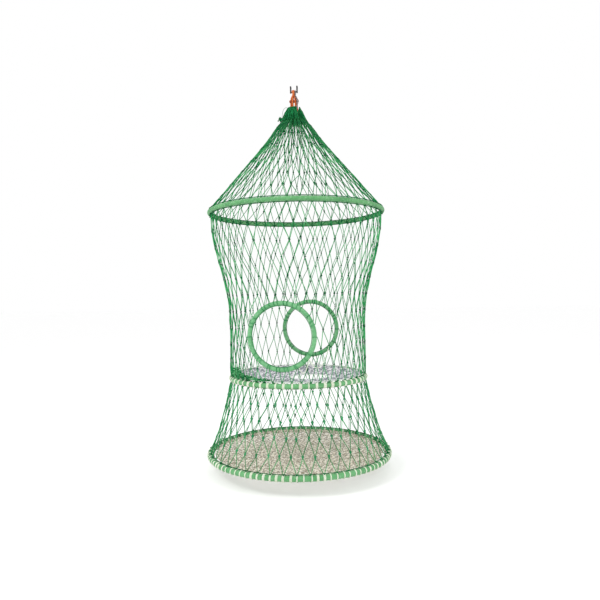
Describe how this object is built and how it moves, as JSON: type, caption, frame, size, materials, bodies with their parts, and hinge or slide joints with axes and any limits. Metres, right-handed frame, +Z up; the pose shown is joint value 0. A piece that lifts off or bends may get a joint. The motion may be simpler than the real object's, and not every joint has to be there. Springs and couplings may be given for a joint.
{
  "type": "cargo climbing net",
  "caption": "Hanging net tower on steel hoops, with a net cone roof, round doorways, a net deck with a climb-through hole and a flared net floor.",
  "frame": {"origin": "middle of the beam bolt's axis, halfway between the clevis ears; the tower hangs below it", "axes": "+Z up, +X along the beam bolt, -Y towards the front doorway"},
  "size_m": [1.6546, 1.6546, 3.3352],
  "materials": {
    "clevis_black": "black powder coat, worn at the edges",
    "sling_rope": "orange braided rope",
    "whipping_rope": "dark orange laid cord",
    "chain_steel": "dull zinc plate",
    "ring_steel": "dull zinc plate",
    "crown_cord": "dark green braided cord",
    "net_rope": "green braided net cord",
    "sleeve_green": "green woven tape wound on the hoop",
    "hoop_steel": "bare tube, hidden",
    "tie_cord": "dark green cord",
    "lacing_cord": "cream braided cord",
    "deck_cord": "whitish grey braided net cord",
    "floor_cord": "beige braided net cord",
    "edge_cord": "white laid rope"
  },
  "bodies": {
    "hanger": {"beam_clevis": "clevis_black"},
    "sling": {"hanging_sling": "sling_rope", "sling_whipping": "whipping_rope", "safety_chain": "chain_steel", "chain_quick_links": "chain_steel"},
    "crown": {"crown_ring": "ring_steel", "crown_lashing": "crown_cord", "lashing_tail": "crown_cord", "cone_net": "net_rope"},
    "top_hoop": {"top_hoop_tube": "hoop_steel", "top_hoop_spigots": "hoop_steel", "top_hoop_sleeve": "sleeve_green", "top_hoop_ties": "tie_cord", "upper_wall_net": "net_rope"},
    "deck": {"deck_hoop_tube": "hoop_steel", "deck_hoop_spigots": "hoop_steel", "deck_hoop_sleeve": "sleeve_green", "deck_hoop_ties": "tie_cord", "deck_hoop_lacing": "lacing_cord", "deck_net": "deck_cord", "deck_edge_rope": "edge_cord", "lower_wall_net": "net_rope"},
    "floor": {"floor_hoop_tube": "hoop_steel", "floor_hoop_spigots": "hoop_steel", "floor_hoop_sleeve": "sleeve_green", "floor_hoop_ties": "tie_cord", "floor_hoop_lacing": "lacing_cord", "floor_net": "floor_cord", "floor_edge_rope": "edge_cord"},
    "front_door": {"front_door_tube": "hoop_steel", "front_door_sleeve": "sleeve_green", "front_door_ties": "tie_cord"},
    "rear_door": {"rear_door_tube": "hoop_steel", "rear_door_sleeve": "sleeve_green", "rear_door_ties": "tie_cord"}
  },
  "joints": [
    {"name": "sling_sway", "type": "hinge", "parent": "hanger", "child": "sling", "pos_m": [0, 0, -0.04], "axis": [0, 1, 0], "range_deg": [-15, 15]},
    {"name": "net_swing", "type": "hinge", "parent": "sling", "child": "crown", "pos_m": [0, 0, -0.23], "axis": [1, 0, 0], "range_deg": [-15, 15]},
    {"name": "top_lift", "type": "slide", "parent": "crown", "child": "top_hoop", "axis": [0, 0, 1], "range_m": [0, 0.8], "deforming": ["cone_net"]},
    {"name": "deck_lift", "type": "slide", "parent": "top_hoop", "child": "deck", "axis": [0, 0, 1], "range_m": [0, 1.35], "deforming": ["upper_wall_net"]},
    {"name": "floor_lift", "type": "slide", "parent": "deck", "child": "floor", "axis": [0, 0, 1], "range_m": [0, 0.6], "deforming": ["lower_wall_net"]},
    {"name": "front_door_fold", "type": "hinge", "parent": "deck", "child": "front_door", "pos_m": [0, -0.585, -2.489], "axis": [-1, 0, 0], "range_deg": [0, 90]},
    {"name": "rear_door_fold", "type": "hinge", "parent": "deck", "child": "rear_door", "pos_m": [0, 0.585, -2.489], "axis": [1, 0, 0], "range_deg": [0, 90]}
  ],
  "couplings": [
    {"joint": "front_door_fold", "follows": "deck_lift", "rad_per_m": 1.1635},
    {"joint": "rear_door_fold", "follows": "deck_lift", "rad_per_m": 1.1635}
  ]
}
